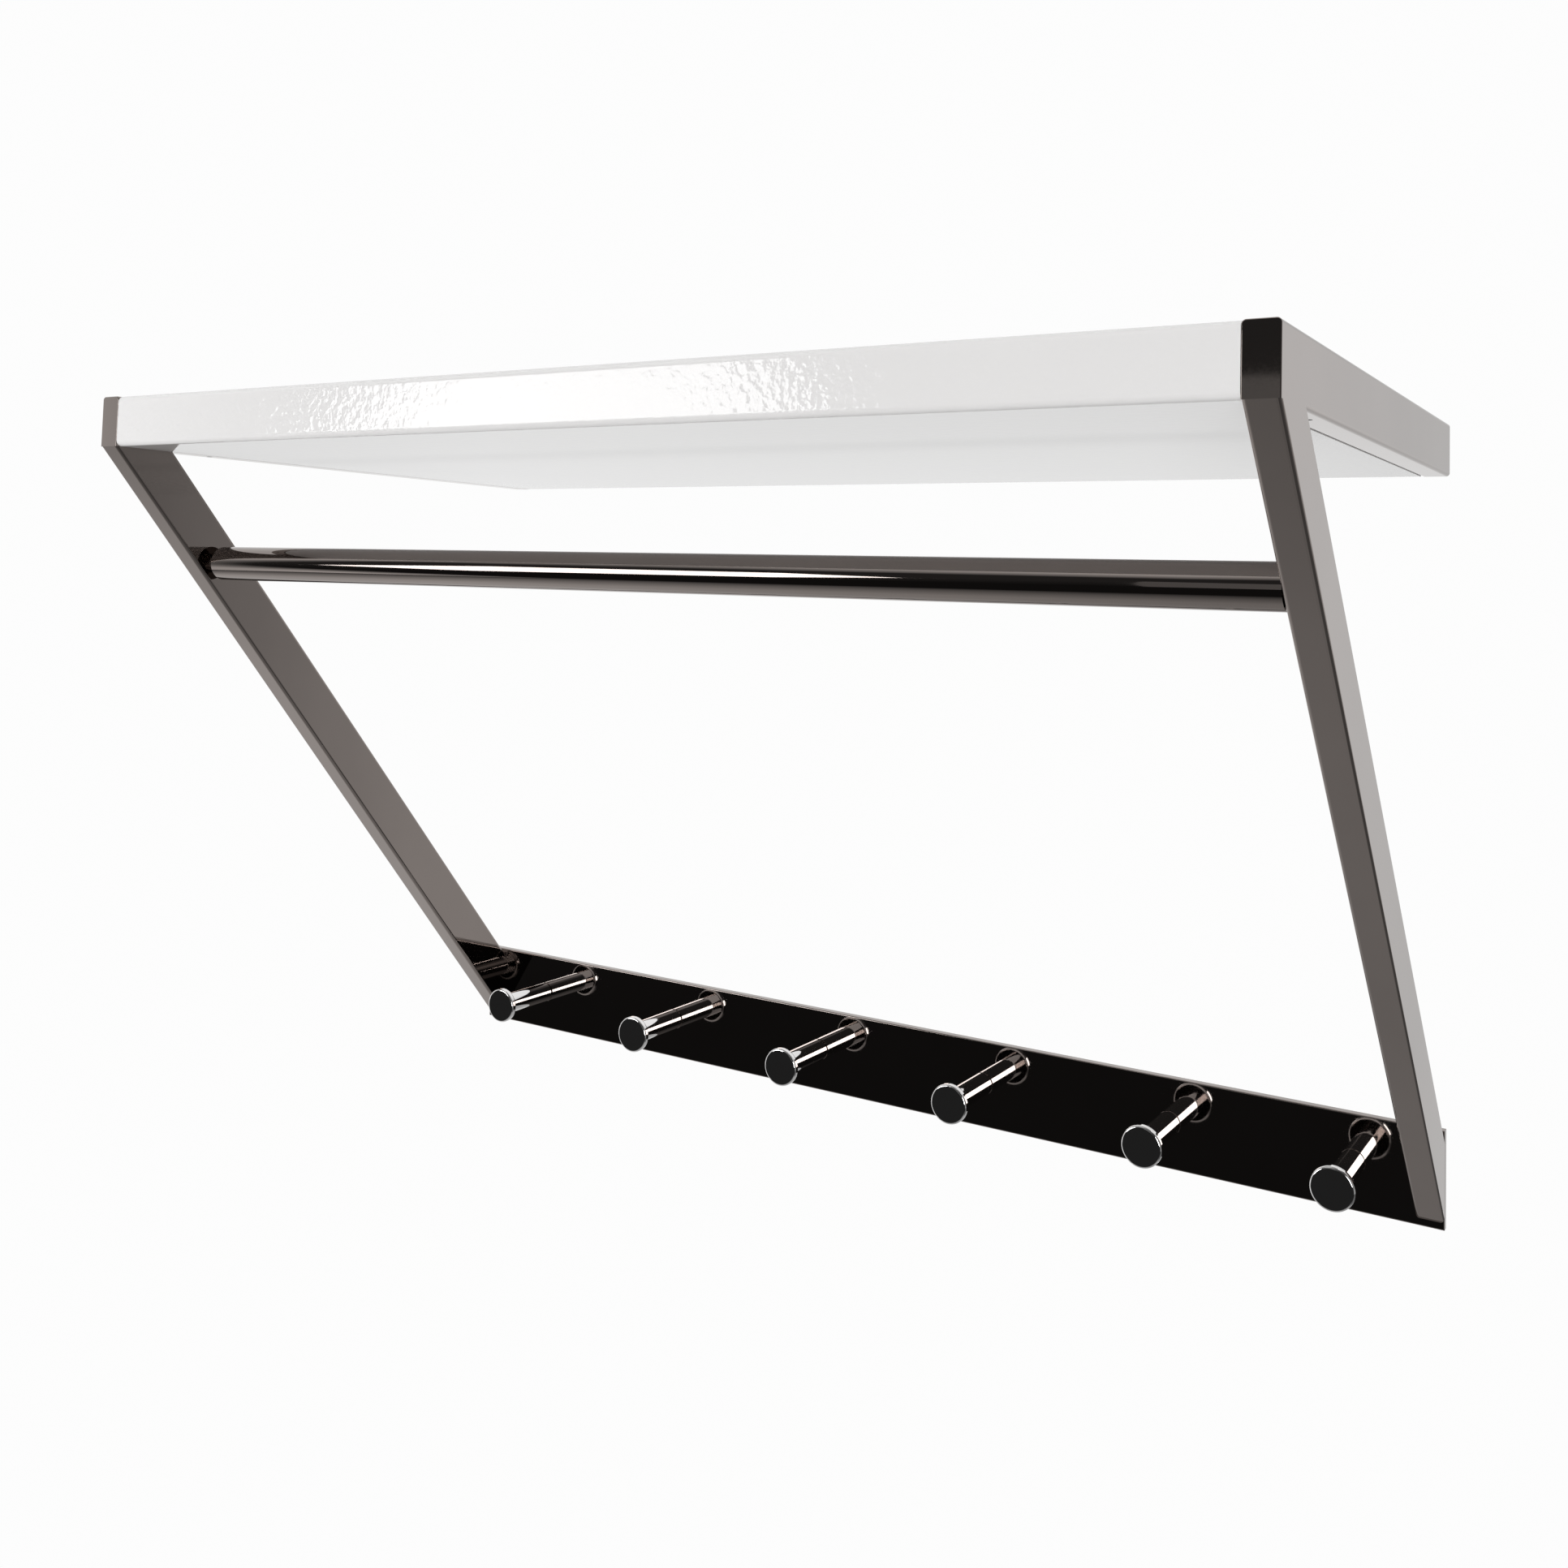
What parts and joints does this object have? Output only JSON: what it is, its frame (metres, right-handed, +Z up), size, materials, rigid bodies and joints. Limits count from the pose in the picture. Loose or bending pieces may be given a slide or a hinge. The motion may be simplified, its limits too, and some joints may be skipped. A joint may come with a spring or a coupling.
{
  "type": "wall hook rack",
  "caption": "Wall-mounted coat rack: white shelf board between sloping metal side frames, with a hanging rod below it and a rail of disc-headed pegs along the bottom.",
  "frame": {"origin": "on the wall plane, midway between the entries of the two keyholes", "axes": "+X along the rack, to the right as seen from the room; +Y into the wall; +Z up; the wall is the plane Y = 0"},
  "size_m": [0.7, 0.37, 0.445],
  "materials": {
    "shelf_lacquer": "high-gloss white lacquer over board",
    "frame_chrome": "mirror-polished black chrome plating",
    "rod_chrome": "mirror-polished black chrome plating on the drawn tube and its turned spigots",
    "peg_chrome": "mirror-polished bright chrome plating on the turned pegs",
    "screw_steel": "bright zinc-plated steel",
    "pad_rubber": "dark self-adhesive bumper"
  },
  "bodies": {
    "root": {"shelf_board": "shelf_lacquer", "arm_tube_left": "frame_chrome", "arm_tube_right": "frame_chrome", "front_cap_left": "frame_chrome", "front_cap_right": "frame_chrome", "wall_hanger_left": "frame_chrome", "wall_hanger_right": "frame_chrome", "diagonal_left": "frame_chrome", "diagonal_right": "frame_chrome", "diagonal_foot_left": "frame_chrome", "diagonal_foot_right": "frame_chrome", "rail_bar": "frame_chrome", "hanging_rod": "rod_chrome", "rod_spigot_left": "rod_chrome", "rod_spigot_right": "rod_chrome", "peg_1": "peg_chrome", "peg_2": "peg_chrome", "peg_3": "peg_chrome", "peg_4": "peg_chrome", "peg_5": "peg_chrome", "peg_6": "peg_chrome", "peg_screws": "screw_steel", "foot_screws": "screw_steel", "rod_set_screws": "screw_steel", "shelf_pins": "screw_steel", "wall_pads": "pad_rubber"}
  },
  "joints": []
}
